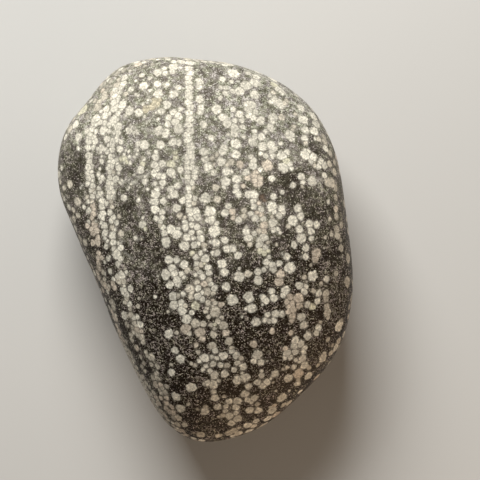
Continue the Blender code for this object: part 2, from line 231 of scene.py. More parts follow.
DULL_SPOTS = (
    (117, 85, 3), (118.5, 80, 2.2), (97.5, 107, 4), (104.5, 97, 3.5), (99, 102, 2.4), (104.6, 92.8, 2.2),
    (112.3, 92.5, 2), (111.5, 98.2, 1.8), (125.5, 94, 2), (111, 201.5, 2), (112, 207, 1.9),
    (113, 172.5, 2.2), (112.5, 227.5, 2.5), (119, 216, 2), (121, 233.5, 2.6), (70, 184, 3.2),
    (78, 201.6, 3.6), (73.5, 210, 2.2), (73.8, 219, 2.4), (78, 215.5, 2.2), (87, 197, 2), (85, 242.5, 3),
    (80, 238, 2.2), (92.8, 190, 2.4), (91.5, 201, 2.6), (135, 156, 1.8), (142.5, 158.5, 1.8),
    (141.5, 239, 1.4), (104.5, 279, 2.2), (103, 272.5, 2.5), (118.5, 281, 3), (123.5, 281.5, 2.6),
    (126.5, 298.4, 2.9), (125, 302, 2.4), (130.3, 309, 2), (131, 315, 3), (134, 322.5, 2.6),
    (128, 325.5, 1.9), (127, 323, 1.4), (132.5, 327.5, 2), (133.5, 332, 2.4), (138, 335.2, 2.9),
    (131, 335, 2.4), (132, 340, 2.5), (142.5, 336.5, 2.4), (143, 342, 2.6), (139, 298.5, 1.7),
    (138, 306.5, 2.1), (111.8, 302, 2.4), (113.5, 307, 2.9), (179.7, 215.6, 2.7), (184.8, 217.5, 2),
    (160, 226, 2), (194, 203.2, 2.2), (192.5, 187.5, 2), (204, 245.5, 2.8), (281.7, 117.4, 3.2),
    (273.5, 92.5, 2.1), (284.6, 103.2, 2.4), (286.5, 100.5, 1.9), (293.7, 126.5, 1.9), (292.3, 129.2, 1.4),
    (305.5, 142.6, 1.9), (318.4, 139.2, 2.5), (325, 141.8, 2.9), (323.6, 136.6, 2.4), (295.5, 114.5, 1.8),
    (217, 154.4, 1.9), (212.4, 158, 2), (214, 165, 1.4), (231.3, 161.8, 2.7), (227.5, 164.6, 1.9),
    (215.6, 187.6, 3.1), (217, 199.7, 3.2), (244, 211, 2.5), (244, 216, 2.5), (249.5, 244, 2.4),
    (329.4, 164, 2.7), (330, 153, 2.4), (334.6, 172, 2.7), (334.5, 162, 2), (314.5, 165.6, 1.7),
    (302, 186.2, 1.7), (328, 182.4, 3.7), (332, 183, 3.8), (335.6, 188, 2.4), (335.6, 197.8, 2.5),
    (336.5, 216.5, 2.4), (341.4, 225, 2.4), (341, 248, 3.1), (340.5, 240, 1.8), (330, 219, 1.7),
    (336.9, 230.4, 3.3), (337.3, 235, 3.1), (331.6, 234, 2.3), (325, 237.5, 1.7), (288.2, 226.4, 2.1),
    (272, 217, 1.4), (268, 242.5, 1.3), (276.5, 244.5, 1.3), (259.5, 231, 2.3), (304.6, 277.3, 2.5),
    (306.5, 281.5, 1.3), (311, 265, 1.7), (320.8, 283.8, 2), (336, 274, 2.6), (347.5, 282, 4),
    (348, 258, 3.2), (313.5, 291.3, 2.6), (326, 293, 3.4), (326, 299, 3.1), (327, 306.8, 3),
    (327.3, 312.7, 3.9), (328, 317.4, 2.3), (320.5, 322, 1.9), (327.9, 339.4, 2.1), (341.3, 320.8, 2),
    (339, 341, 2.5), (332.5, 345, 1.8), (190, 288.7, 4), (191.6, 292.6, 2.9), (178, 296, 2.4),
    (191, 297, 2.9), (197, 282, 2.6), (197, 268.5, 2.4), (201, 265, 2.7), (209, 280, 2.9),
    (207.5, 291.8, 3.8), (213, 293.2, 2.6), (184.5, 306, 2.8), (208.5, 317, 2.3), (205.5, 311.5, 2.3),
    (195.4, 323.3, 4.1), (203.4, 323.9, 3.1), (189, 333, 2.8), (211, 325, 2), (208, 303, 2.9),
    (207, 308.2, 2), (215, 303, 2.5), (215.4, 312, 4.8), (222, 317.5, 2.3), (218, 321.6, 2.9),
    (223.7, 325.6, 4.1), (213.6, 334.6, 3.3), (211.9, 345.8, 3.9), (229, 341.4, 3.7), (231.8, 348.2, 2.4),
    (187.3, 270.2, 2.8), (248, 274, 3.4), (168, 311.5, 1.7), (176.5, 333, 2.3), (152, 357, 3.4),
    (151.5, 364.5, 2.3), (157.5, 366, 2.7), (157, 373, 2.4), (153, 377.5, 2.8), (157.2, 378.5, 2.8),
    (162, 388, 2.4), (167, 386.7, 2.4), (165, 392, 2.7), (161, 393, 2.4), (153.5, 393, 2.2),
    (171, 364.5, 1.7), (205.5, 407, 2.5), (200.7, 434.7, 3.6), (219, 435.5, 2.8), (197.5, 409, 1.4),
    (188.5, 404, 2), (198, 352, 2.5), (227, 365.5, 2.9), (224, 396.5, 1.9), (223, 416, 2.5),
    (219, 417, 1.7), (229, 433, 3.6), (234, 431, 3.8), (238.5, 433.5, 3.4), (239, 428, 1.7),
    (241, 358.2, 2.8), (242, 380, 2.2), (191, 364, 1.9), (195.5, 365, 2.2), (257.6, 404, 2.5),
    (273, 382.5, 1.5), (289, 403, 2.5), (264.3, 424.3, 2.8), (309, 368, 2.3), (298, 380, 1.9),
    (331, 353, 2.4), (318, 365, 1.9), (286.8, 367.4, 2.3), (283.3, 369, 1.7), (178, 418.1, 3.4),
    (173.5, 418, 2.8), (177.5, 424.5, 2.5), (127.3, 316, 2), (133.5, 321.7, 2.2), (136.7, 325.8, 2.2),
    (126.3, 323.8, 1.8), (137, 333.5, 2), (140.8, 338.3, 2.2), (131.5, 337.3, 2), (146, 351.9, 2),
    (150.4, 357.8, 2.8), (147, 355.4, 2), (140.8, 357, 1.9), (144, 363.3, 2), (157.5, 365.4, 2),
    (156.5, 373.8, 2.6), (153.3, 377, 2.2), (157.5, 379.2, 2.2), (161.8, 386.4, 1.8), (159.6, 390.6, 2),
    (157.4, 400, 1.8), (108.5, 286.3, 2), (110.6, 301.9, 1.8), (114.3, 304.2, 2), (112.7, 310.4, 2),
    (115.8, 315.4, 2), (117.9, 325.8, 2), (120, 331, 1.9), (123.1, 338.3, 2.2), (126.3, 341.8, 1.8),
    (129.4, 351.9, 2.4), (131.6, 356.2, 2.4), (134, 360, 1.9), (136.7, 367.5, 1.9), (141.9, 366.5, 2),
    (145, 371, 1.9), (142.9, 377, 2), (146, 383.2, 2.1), (149.2, 387, 1.9), (148, 391, 1.8),
    (151.3, 394.6, 2), (153.4, 402, 1.9), (161.8, 411.4, 1.8), (164.8, 416, 2), (168, 420, 1.9),
    (177.4, 428.6, 2),
)
BROWNISH_SPOTS = (
    (93, 205, 2.8), (93.5, 209, 2.4), (93.5, 213.5, 2.7), (92, 217.5, 2), (87.3, 226, 2.6),
    (94.2, 224.3, 3.3), (91, 229, 2.6), (96.6, 230.5, 3), (93.5, 233.5, 2.8), (93, 242.5, 3),
    (97.6, 242.6, 3.3), (98, 238, 2.5), (98.5, 253, 2.5), (98, 258, 2.7), (101.5, 257.4, 2.2),
    (98.5, 263, 2.5), (99, 268, 2.7), (97.5, 273, 2.3), (98.5, 277.2, 2.5), (97.5, 283.5, 1.9),
    (102, 283, 2.5), (105, 285.6, 2.9), (107.6, 288.3, 2.4), (112.8, 284, 2.5), (114.5, 288, 2.5),
    (112.5, 311.5, 2.4), (114, 316, 2.9), (116.5, 318.4, 2.2), (117.5, 326, 2.4), (119.5, 331, 2.9),
    (123, 339, 2.5), (137, 330, 3.3), (141, 331.2, 2.4), (136.7, 347.5, 2.9), (155.5, 385, 2.9),
    (160.4, 385.4, 2.7), (156, 397.5, 2.4), (161, 398.2, 2.3), (166.4, 398, 2.5), (158, 402.7, 2.9),
    (166.5, 403.5, 2.9), (171.6, 407, 2.5), (166, 409, 2.7), (169, 411.7, 2.6), (173, 413, 2.7),
    (164.4, 415, 2.7), (160.5, 411, 2), (178, 430, 2.5), (182.5, 431, 2.3), (186, 435, 2.1),
    (153, 402, 1.9), (240, 164.6, 3.1), (247.6, 177.8, 2.7), (243.5, 186, 1.9), (232.5, 212, 2.9),
    (233, 218, 2), (259, 203.2, 1.8), (257, 213, 1.9), (261, 214, 2.4), (267, 165.3, 4.9),
    (254.5, 175.6, 3), (255, 180.4, 2.9), (259.6, 178.2, 3.3), (259.5, 184, 2.9), (256, 184.6, 2.3),
    (256, 172.3, 2.4), (263.6, 225, 3.5), (263.8, 231, 2.5), (316.7, 252.8, 4.3), (315.3, 259.4, 3.7),
    (336, 209, 2.5), (317, 377, 2.5), (185.7, 328.6, 4.8), (200.2, 332.4, 4.8), (202.4, 338.6, 2.8),
    (196, 345, 2.5), (204.5, 284, 2.8), (221.3, 304.8, 2.9), (225.6, 333, 3.4), (290, 297, 3.3),
    (287.5, 301.6, 2.9), (292, 303.4, 2.9), (288.6, 306.4, 2.9), (293.2, 309.8, 3.5), (289, 311.6, 2.9),
    (292.6, 316, 3.5), (292, 321, 2.7), (298.6, 298.2, 4.7), (299, 305.5, 3.5), (253.7, 344.3, 3.7),
    (272.2, 331.2, 2.9), (291, 333.2, 2.5), (285.5, 348.5, 2.9), (274.5, 405.5, 2.3), (276, 414.5, 2.9),
    (298.4, 373.5, 4.8), (280.4, 274.2, 3.9), (279.2, 281.8, 4.3),
)
# Clouded ones at the far left edge that barely show
FAINT_SPOTS = (
    (117, 73.5, 2.6), (119, 68.3, 2.2), (124, 70, 2.4), (132, 67, 2), (110.5, 81, 2.4), (110.8, 86.3, 2),
    (103.4, 84, 2.6), (101.2, 87.4, 2), (106.8, 86, 1.8), (107, 90, 2.4), (90, 109, 1.7), (87.4, 117, 1.7),
    (145, 66, 1.6), (139.5, 68.5, 1.5), (152.5, 64.5, 1.8), (126, 98.5, 1.6),
)
YELLOWISH_SPOTS = (
    (83, 110, 4), (172, 164, 3.4), (168.8, 164.2, 2.2), (176, 158, 2.4), (175, 153, 1.9),
    (145.2, 228.5, 2.1), (124, 158.6, 2.9), (126.3, 161.2, 2.3), (121.4, 159, 1.9), (142.5, 164, 2.2),
    (274.3, 84.8, 2.9), (286.2, 161, 3.6), (195.7, 305.9, 4.2), (312.4, 306.5, 3.3), (260.5, 250.8, 3.2),
    (264.2, 252.7, 2.9), (267.4, 250.8, 2.4),
)
# One amber patch
AMBER_SPOTS = (
    (146, 109, 3.4), (155.8, 102.8, 4.4), (152, 107, 3), (159, 100, 2.6), (147, 107.5, 2.4),
    (153.5, 99.5, 1.8),
)
# The floors of small brown hollows
HOLLOW_SPOTS = ((262.6, 197, 2.6), (264.2, 200, 1.8))

# Fine pale lines left by knocks and scratches, and along the upper right edge a painted highlight: half
# width, then the line, in pixels
FINE_LINES = (
    (0.9, ((124, 182), (126, 179.6), (130.5, 179.6))),
    (1.0, ((132, 181.6), (134.5, 182.2), (136.5, 183.2))),
    (0.8, ((129, 183), (133, 183.6), (138, 181.4))),
    (0.9, ((138, 176.6), (142, 175.8), (146.5, 175.4), (149.5, 172))),
    (0.8, ((142, 128.5), (148, 129), (154, 131))),
    (0.8, ((146.4, 123), (147, 121), (150, 119.6), (152, 117.5), (154, 115))),
    (0.7, ((112, 136.3), (120, 136))),
    (0.9, ((282, 253), (285, 257))),
    (0.3, ((124, 252.5), (134.5, 260))),
    (0.7, ((300, 257.4), (303, 256))),
    (0.9, ((80.5, 188), (83.5, 184))),
    (0.8, ((145.4, 91.4), (147.6, 94), (149, 98), (152, 103))),
    (0.7, ((143, 237.5), (139, 239), (136.5, 239))),
    (0.7, ((120.5, 243), (122.5, 240))),
    # These three lines are a painted highlight along the upper right edge, where light grazes it
    (0.8, ((245, 69.6), (253, 72.6), (262, 76.2), (272, 81), (280, 85.8), (287, 90.4), (293, 95))),
    (0.8, ((298, 99.4), (302, 102.6), (306, 106.2))),
    (0.7, ((309, 109.8), (313, 114))),
)
LINE_STEP_PX = 1.3

# Rows of spots: the line that each follows, in pixels from top to bottom, the number of spots side
# by side, and the row's width, the spots' pitch along it and their radius, in mm. They carry the
# upper side's rows round the stone, and pack the dense one there with small spots
ROWS = {
    "ridge": dict(
        line=((116, 66), (115, 100), (113, 127), (111.5, 150), (110, 187), (111.5, 220),
              (116.5, 247), (125, 290), (130, 310), (137, 333), (147, 353), (160, 385), (176, 420)),
        abreast=2, width=0.75, pitch=0.8, radius=(0.28, 0.42), share=0.93,
    ),
    "left flank": dict(
        line=((104, 84), (95, 117), (90, 143), (89, 167), (92, 187), (96.5, 213), (100, 240),
              (106.5, 267), (116, 300), (127, 340), (140, 370), (160, 405)),
        abreast=2, width=0.8, pitch=0.78, radius=(0.28, 0.44), share=0.92,
    ),
    "between": dict(
        line=((103, 150), (101, 187), (103, 210), (107, 233), (113, 262)),
        abreast=1, width=0.15, pitch=0.75, radius=(0.28, 0.4), share=0.85,
    ),
    "left of middle": dict(
        line=((168, 63), (163, 87), (160, 133), (155, 160), (153, 187), (155, 200), (157, 213),
              (163, 233), (166.5, 273), (175, 300), (187, 327), (200, 352)),
        abreast=1, width=0.3, pitch=0.86, radius=(0.34, 0.5), share=0.8,
    ),
    "middle": dict(
        line=((188.5, 60), (189.5, 87), (189.5, 120), (188.7, 147), (189.3, 173), (189.5, 200),
              (191.7, 227), (196.7, 250), (203.3, 277), (211.7, 307), (221.7, 330), (233.3, 353),
              (242, 377), (243, 398), (238, 420), (232, 438)),
        abreast=1, width=0.1, pitch=0.84, radius=(0.38, 0.46), share=1.0,
    ),
    "middle, dense": dict(
        line=((195, 238), (199.5, 260), (204, 282), (211, 306), (220, 330)),
        abreast=4, width=1.5, pitch=0.52, radius=(0.2, 0.34), share=0.95, packs_top=True,
    ),
    "right of middle": dict(
        line=((248, 66), (248.5, 103), (251.5, 133), (250, 160), (255, 193), (261.5, 223),
              (266.5, 247), (278.5, 277), (290, 300), (295, 330), (292, 360), (280, 395)),
        abreast=3, width=2.6, pitch=0.95, radius=(0.34, 0.6), share=0.78,
    ),
    "far right": dict(
        line=((301, 100), (316.5, 133), (327, 157), (333, 190), (337, 227), (341, 262), (340, 300)),
        abreast=1, width=1.2, pitch=1.6, radius=(0.36, 0.62), share=0.7,
    ),
}
# How far each row's layer leans over, sideways per mm of depth
LAYER_LEAN = 0.22
# How far a lane wanders, as a share of its row's width, and how closely its spots keep to it
WANDER_ALONE = 0.5
WANDER_BESIDE = 0.18
WANDER_PER_MM = 0.6
OFF_LANE_MM = 0.13
UNEVEN_PITCH = (0.92, 1.1)
# Rows and loose spots are strewn below this height, and the listed ones lie above it
STREWN_BELOW_MM = 12.3
# How near strewn spots may come, as a share of their radii's sum
NEAREST_SHARE = 0.78
LOOSEST_SHARE = 1.5

SPOT_SEED = 5
MOST_SPOTS = 6000
SCATTER_TRIES = 9000
# Smallest, largest and commonest
SCATTER_RADIUS_MM = (0.2, 0.66, 0.36)
# Loose clumps: how many to the mm, and the share of tries that are kept, with its swing
CLUMPS_PER_MM = 0.22
KEPT_SHARE = 0.5
KEPT_SWING = 0.9
# How many near spots the material measures from, and how many are weighed up for that
NEAREST = 4
WEIGHED_UP = 8
# A spot on a slope is larger than it looks, but no slope counts as steeper than this
STEEPEST = 0.35

# The colours of each kind of spot
PALE = (0.68, 0.644, 0.552)
DULL = (0.54, 0.495, 0.41)
FAINT = (0.36, 0.335, 0.28)
BROWNISH = (0.584, 0.512, 0.42)
YELLOWISH = (0.63, 0.6, 0.465)
AMBER = (0.5, 0.45, 0.335)
# Scratches, and the painted highlight along the upper right edge
SCRATCH_AND_RIM_HIGHLIGHT = (0.576, 0.552, 0.48)
HOLLOW = (0.14, 0.105, 0.08)
# How a spot's shade varies, and how common each kind is among strewn ones
SHADES = (0.85, 1.12)
STREWN_KINDS = ((PALE, DULL, BROWNISH, YELLOWISH), (62, 24, 11, 3))
GLASS_DARK = (0.004, 0.0016, 0.0004, 1.0)
# Hazy glass, lighter partly as painted sheen towards the far end
GLASS_HAZE_AND_SHEEN = (0.102, 0.094, 0.072, 1.0)
# Bruises in clear glass and in hazy glass, which is hazy partly as painted sheen
BRUISES = ((0.44, 0.392, 0.34, 1.0), (0.52, 0.504, 0.452, 1.0))
# The glass leans to one or the other of these in patches
OLIVE_TINT = (0.98, 1.012, 0.91)
VIOLET_TINT = (1.02, 0.98, 1.04)
SHEEN = {"IOR": 1.52, "Specular IOR Level": 0.165, "Specular Tint": (1.0, 0.81, 0.57, 1.0)}
BUMP_MM = 0.08
# The glass is hazier towards the far end, less so on the flanks, partly with wear and partly as
# painted sheen where the window lamp shines: where haze starts and is full, in mm along y, how much
# later for each mm to the side, and how far that swings from place to place
HAZE_AND_SHEEN_MM = (-8.5, 15.5)
HAZE_AND_SHEEN_SLANT = 0.25
HAZE_AND_SHEEN_DRIFT_MM = 15.0
# Hazier and clearer patches, partly of haze and partly of painted sheen and shade: middle and radius
# in pixels, and how far towards the hazy end the glass in their middles seems to lie, in mm
HAZE_AND_SHEEN_PATCHES = (
    (288, 182, 36, -6.5), (316, 150, 30, -5.5), (262, 226, 28, 6.0), (130, 268, 38, 5.0),
    (336, 282, 38, 6.0), (76, 168, 34, -5.5), (79, 214, 24, -3.5), (124, 98, 36, -4.0),
    (182, 78, 22, -3.0), (256, 88, 26, 4.0), (285, 318, 36, -5.0), (246, 332, 36, -4.0),
    (196, 404, 46, -4.0), (190, 282, 22, 5.0),
)
# Swings of the spots' edges: how many to the mm, and how far in mm
RAGGEDNESS = ((1.3, 0.2), (3.2, 0.2), (8.0, 0.09))

# Where each lamp is, what it points at and its size, in mm, then its watts and its colour
LAMPS = {
    "window": ((-60, 236, 180), (0, 5, 8), (190, 150), 1.67, (1.0, 0.99, 0.95)),
    "near fill": ((104, -145, 38), (2, -10, 6.5), (190, 60), 0.172, (1.0, 0.75, 0.535)),
}
WORLD = {"Color": (1.0, 0.9, 0.76, 1.0), "Strength": 0.112}
FLOOR_HALF_M = 3.0
PAPER = (0.52, 0.515, 0.505)
# The paper is darker below the two lamps, so that it looks evenly pale: each shade's middle, from
# and to how far it fades, in mm, and the share of the colour that is left in the middle
PAPER_SHADES = (((-60, 205, 0), 40, 190, 0.28), ((104, -132, 0), 20, 110, 0.6))
SENSOR_MM = 36.0


def to_mesh_object(name, mesh):
    piece = bpy.data.objects.new(name, mesh)
    bpy.context.scene.collection.objects.link(piece)
    return piece


def values_of(items, name, width=3, kind=float):
    """One value, such as a point or a normal, of each item in a part of a mesh."""
    flat = np.empty(len(items) * width, kind)
    items.foreach_get(name, flat)
    return flat.reshape(-1, width)


def points_of(mesh):
    return values_of(mesh.vertices, "co") / MM


def set_points(mesh, points):
    mesh.vertices.foreach_set("co", (points * MM).ravel())
    mesh.update()


def tree_of(points):
    tree = kdtree.KDTree(len(points))
    for i, point in enumerate(points):
        tree.insert(point, i)
    tree.balance()
    return tree


def smoothed(points, edges, rounds):
    """Taubin smoothing: each round draws points towards their neighbours, then back by as much."""
    size = len(points)
    counts = np.bincount(edges.ravel(), minlength=size)
    for step in SMOOTH_STEPS * rounds:
        moved = np.empty_like(points)
        for axis in range(3):
            column = points[:, axis]
            total = np.bincount(edges[:, 0], column[edges[:, 1]], size)
            total += np.bincount(edges[:, 1], column[edges[:, 0]], size)
            moved[:, axis] = column + step * (total / counts - column)
        points = moved
    return points


def even_stone(node):
    """The CAD stone as small even quads, with its facets smoothed."""
    mesh = node.data.copy()
    shape = bmesh.new()
    shape.from_mesh(mesh)
    bmesh.ops.remove_doubles(shape, verts=shape.verts, dist=WELD_MM * MM)
    shape.to_mesh(mesh)
    shape.free()
    mesh.materials.clear()
    piece = to_mesh_object("fine", mesh)
    rounder = piece.modifiers.new("rounder", "SUBSURF")
    rounder.levels = rounder.render_levels = SUBDIVISIONS
    remesh = piece.modifiers.new("even quads", "REMESH")
    remesh.mode = "VOXEL"
    remesh.voxel_size = VOXEL_MM * MM
    graph = bpy.context.evaluated_depsgraph_get()
    mesh = bpy.data.meshes.new_from_object(piece.evaluated_get(graph))
    mesh.name = "pebble"
    bpy.data.objects.remove(piece)
    edges = values_of(mesh.edges, "vertices", 2, np.int64)
    set_points(mesh, smoothed(points_of(mesh), edges, SMOOTH_ROUNDS))
    mesh.shade_smooth()
    return to_mesh_object("pebble", mesh)


def low_relief(points, dimple):
    """How far each point stands out, in mm: slow undulation, small shallow pits and one dimple."""
    relief = np.zeros(len(points))
    for wavelength, height in UNDULATION:
        relief += [height * noise.noise(Vector(p) / wavelength) for p in points]
    draw = random.Random(PIT_SEED)
    tree = tree_of(points)
    pits = [(dimple, *DIMPLE_MM)]
    for _ in range(PIT_COUNT):
        centre = points[draw.randrange(len(points))]
        pits.append((centre, draw.uniform(*PIT_RADIUS_MM), draw.uniform(*PIT_DEPTH_MM)))
    for centre, radius, depth in pits:
        for _, i, distance in tree.find_range(centre, radius):
            relief[i] -= depth * (1 - (distance / radius) ** 2) ** 2
    return relief


def wear(piece, seen):
    """Gives the smooth stone a worn surface's low relief."""
    points = points_of(piece.data)
    relief = low_relief(points, seen.at(*DIMPLE_PX)[0])
    points = points + values_of(piece.data.vertex_normals, "vector") * relief[:, None]
    points[:, 2] = np.maximum(points[:, 2], 0.0)
    set_points(piece.data, points)


class SeenFromAbove:
    """Finds the place on the stone that a pixel of the image shows."""

    def __init__(self, piece):
        mesh = piece.data
        vertices = [v.co / MM for v in mesh.vertices]
        self.tree = BVHTree.FromPolygons(vertices, [tuple(p.vertices) for p in mesh.polygons])
        self.eye = Vector((*VIEW_CENTRE_MM, WAIST_MM + CAMERA_HEIGHT_MM))

    def at(self, px, py):
        """The place, and how much larger a spot is there than it looks, because of the slant."""
        aim = Vector((
            VIEW_CENTRE_MM[0] + (px - IMAGE_PX / 2) * MM_PER_PX,
            VIEW_CENTRE_MM[1] - (py - IMAGE_PX / 2) * MM_PER_PX,
            WAIST_MM,
        ))
        place, normal, _, _ = self.tree.ray_cast(self.eye, (aim - self.eye).normalized())
        if place is None:
            return aim, 1.0
        return place, max(normal.z, STEEPEST) ** -0.5


class Spots:
    """The mineral spots placed so far: centres and radii in mm, and colours."""

    def __init__(self):
        self.count = 0
        self.centres = np.zeros((MOST_SPOTS, 3))
        self.radii = np.zeros(MOST_SPOTS)
        self.colours = np.zeros((MOST_SPOTS, 3))

    def add(self, centre, radius, colour):
        self.centres[self.count] = centre
        self.radii[self.count] = radius
        self.colours[self.count] = colour
        self.count += 1

    def crowded(self, centre, radius, closeness):
        """Whether a spot there would come nearer to another than this share of their radii's sum."""
        gaps = np.linalg.norm(self.centres[:self.count] - centre, axis=1)
        return bool((gaps < closeness * (self.radii[:self.count] + radius)).any())


def shade_of(colour, draw):
    """The colour, a little lighter or darker."""
    return np.array(colour) * draw.uniform(*SHADES)


def any_shade(draw):
    """A strewn spot's colour: mostly pale, some dull or brownish, few yellowish."""
    return shade_of(draw.choices(*STREWN_KINDS)[0], draw)


def place_seen(spots, seen, draw):
    """The listed spots and fine lines of the upper side."""
    def add(px, py, radius_px, colour):
        place, growth = seen.at(px, py)
        spots.add(place, radius_px * MM_PER_PX * growth, shade_of(colour, draw))

    kinds = (
        (PALE_SPOTS, PALE), (DULL_SPOTS, DULL), (BROWNISH_SPOTS, BROWNISH),
        (FAINT_SPOTS, FAINT), (YELLOWISH_SPOTS, YELLOWISH),
        (AMBER_SPOTS, AMBER), (HOLLOW_SPOTS, HOLLOW),
    )
    for listed, colour in kinds:
        for spot in listed:
            add(*spot, colour)
    for half_width_px, line in FINE_LINES:
        for start, end in zip(line, line[1:]):
            steps = math.ceil(math.dist(start, end) / LINE_STEP_PX)
            for step in range(steps):
                add(*Vector(start).lerp(Vector(end), step / steps), half_width_px, SCRATCH_AND_RIM_HIGHLIGHT)


def layer_offsets(points, line):
    """Each point's distance, in x, from the leaning layer that meets the stone's top along a line."""
    line = line[np.argsort(line[:, 1])]
    across, along, height = line[:, 0], line[:, 1], line[:, 2]
    y = points[:, 1]
    x = np.interp(y, along, across)
    z = np.interp(y, along, height)
    first = (across[1] - across[0]) / (along[1] - along[0])
    last = (across[-1] - across[-2]) / (along[-1] - along[-2])
    x += np.minimum(y - along[0], 0) * first + np.maximum(y - along[-1], 0) * last
    return points[:, 0] - x - LAYER_LEAN * (points[:, 2] - z)


def place_row(spots, points, line, row, draw):
    """Spots along the loop where a layer meets the surface, side by side or in single file."""
    offsets = layer_offsets(points, line)
    if row.get("packs_top"):
        beside = np.abs(points[:, 1] - line[:, 1].mean()) < np.ptp(line[:, 1]) / 2
        wanted = (points[:, 2] > WAIST_MM) & beside
    else:
        wanted = points[:, 2] < STREWN_BELOW_MM
    lanes = row["abreast"]
    for lane in range(lanes):
        middle = (lane - (lanes - 1) / 2) * row["width"] / max(lanes - 1, 1)
        wander = row["width"] * (WANDER_BESIDE if lanes > 1 else WANDER_ALONE)
        near = np.flatnonzero(wanted & (np.abs(offsets - middle) < OFF_LANE_MM + wander))
        turn = np.arctan2(points[near, 2] - WAIST_MM, points[near, 1])
        last = None
        phase = draw.uniform(0, 100)
        for i in near[np.argsort(turn)]:
            point = points[i]
            drift = noise.noise(Vector(point) * WANDER_PER_MM + Vector((phase, 0, 0)))
            if abs(offsets[i] - (middle + wander * drift)) > OFF_LANE_MM:
                continue
            if last is not None:
                pitch = row["pitch"] * draw.uniform(*UNEVEN_PITCH)
                if np.linalg.norm(point - last) < pitch:
                    continue
            last = point
            radius = draw.uniform(*row["radius"])
            if draw.random() < row["share"] and not spots.crowded(point, radius, NEAREST_SHARE):
                spots.add(point, radius, any_shade(draw))


def scatter(spots, points, draw):
    """Loose spots round the sides and underneath, in loose clumps."""
    for _ in range(SCATTER_TRIES):
        point = points[draw.randrange(len(points))]
        share = KEPT_SHARE + KEPT_SWING * noise.noise(Vector(point) * CLUMPS_PER_MM)
        if point[2] > STREWN_BELOW_MM or draw.random() > share:
            continue
        radius = draw.triangular(*SCATTER_RADIUS_MM)
        if not spots.crowded(point, radius, draw.uniform(NEAREST_SHARE, LOOSEST_SHARE)):
            spots.add(point, radius, any_shade(draw))


def write_nearest(mesh, spots):
    """Gives each face the spots nearest to it, for the material to measure from."""
    tree = tree_of(spots.centres[:spots.count])
    middles = values_of(mesh.polygons, "center") / MM
    chosen = np.empty((len(middles), NEAREST), np.int64)
    for face, middle in enumerate(middles):
        found = tree.find_n(middle, WEIGHED_UP)
        found = sorted(found, key=lambda hit: hit[2] - spots.radii[hit[1]])
        chosen[face] = [hit[1] for hit in found[:NEAREST]]
    measures = (
        ("place", "FLOAT_VECTOR", "vector", spots.centres),
        ("size", "FLOAT", "value", spots.radii),
        ("colour", "FLOAT_VECTOR", "vector", spots.colours),
    )
    for k in range(NEAREST):
        for name, kind, part, values in measures:
            made = mesh.attributes.new(f"spot_{k}_{name}", kind, "FACE")
            made.data.foreach_set(part, values[chosen[:, k]].ravel())


class Look:
    """Short calls that add a material's nodes and join them up."""

    def __init__(self, name):
        self.material = bpy.data.materials.new(name)
        self.material.use_nodes = True
        self.tree = self.material.node_tree
        self.shader = self.tree.nodes["Principled BSDF"]

    def put(self, socket, value):
        if isinstance(value, bpy.types.NodeSocket):
            self.tree.links.new(value, socket)
        else:
            socket.default_value = value

    def node(self, kind, sockets=(), **settings):
        made = self.tree.nodes.new("ShaderNode" + kind)
        for setting, value in settings.items():
            setattr(made, setting, value)
        for key, value in dict(sockets).items():
            self.put(made.inputs[key], value)
        return made

    def calc(self, operation, *values):
        return self.node("Math", dict(enumerate(values)), operation=operation).outputs[0]

    def fold(self, operation, *values):
        return reduce(lambda first, second: self.calc(operation, first, second), values)

    times = partialmethod(fold, "MULTIPLY")
    plus = partialmethod(fold, "ADD")
    most = partialmethod(fold, "MAXIMUM")

    def vector(self, operation, *values):
        made = self.node("VectorMath", dict(enumerate(values)), operation=operation)
        return made.outputs["Value" if operation == "DISTANCE" else "Vector"]

    def scaled(self, vector, factor):
        made = self.node("VectorMath", {"Vector": vector, "Scale": factor}, operation="SCALE")
        return made.outputs["Vector"]

    def place_mm(self):
        return self.scaled(self.node("TexCoord").outputs["Object"], 1 / MM)

    def ramp(self, value, low, high, at_low=0.0, at_high=1.0):
        """A smooth step from at_low to at_high as the value goes from low to high."""
        made = self.node(
            "MapRange",
            {"Value": value, "From Min": low, "From Max": high, "To Min": at_low, "To Max": at_high},
            interpolation_type="SMOOTHSTEP",
        )
        return made.outputs["Result"]

    def noise(self, vector, per_mm, detail=2.0, output="Fac", curl=0.0):
        made = self.node("TexNoise", {
            "Vector": vector, "Scale": per_mm, "Detail": detail, "Roughness": 0.55, "Distortion": curl,
        })
        return made.outputs[output]

    def mix(self, factor, first, second, kind="RGBA"):
        made = self.node("Mix", data_type=kind)
        self.put(made.inputs["Factor"], factor)
        for name, value in (("A", first), ("B", second)):
            socket = next(s for s in made.inputs if s.name == name and s.type == kind)
            self.put(socket, value)
        return next(s for s in made.outputs if s.type == kind)


def nearest_of(look, place, fullness):
    """(distance past the nearest spot's edge, its margin over the next, its colour), in mm."""
    rivals = []
    for k in range(NEAREST):
        centre, size, colour = (
            look.node("Attribute", attribute_name=f"spot_{k}_{name}").outputs[output]
            for name, output in (("place", "Vector"), ("size", "Fac"), ("colour", "Vector"))
        )
        reach = look.times(size, fullness)
        beyond = look.calc("SUBTRACT", look.vector("DISTANCE", place, centre), reach)
        rivals.append((beyond, colour))
    (nearest, colour), *others = rivals
    second = None
    for beyond, other in others:
        loser = look.most(nearest, beyond)
        second = loser if second is None else look.calc("MINIMUM", second, loser)
        wins = look.calc("LESS_THAN", beyond, nearest)
        colour = look.mix(wins, colour, other, "VECTOR")
        nearest = look.calc("MINIMUM", nearest, beyond)
    return nearest, look.calc("SUBTRACT", second, nearest), colour


def fine_strokes(look, place, per_mm, half_width):
    """Thin curved lines, broken into short strokes."""
    swirl = look.plus(look.noise(place, per_mm, 1.0), -0.5)
    line = look.ramp(look.calc("ABSOLUTE", swirl), 0.0, half_width, 1.0, 0.0)
    return look.times(line, look.ramp(look.noise(place, per_mm * 1.7), 0.46, 0.6))


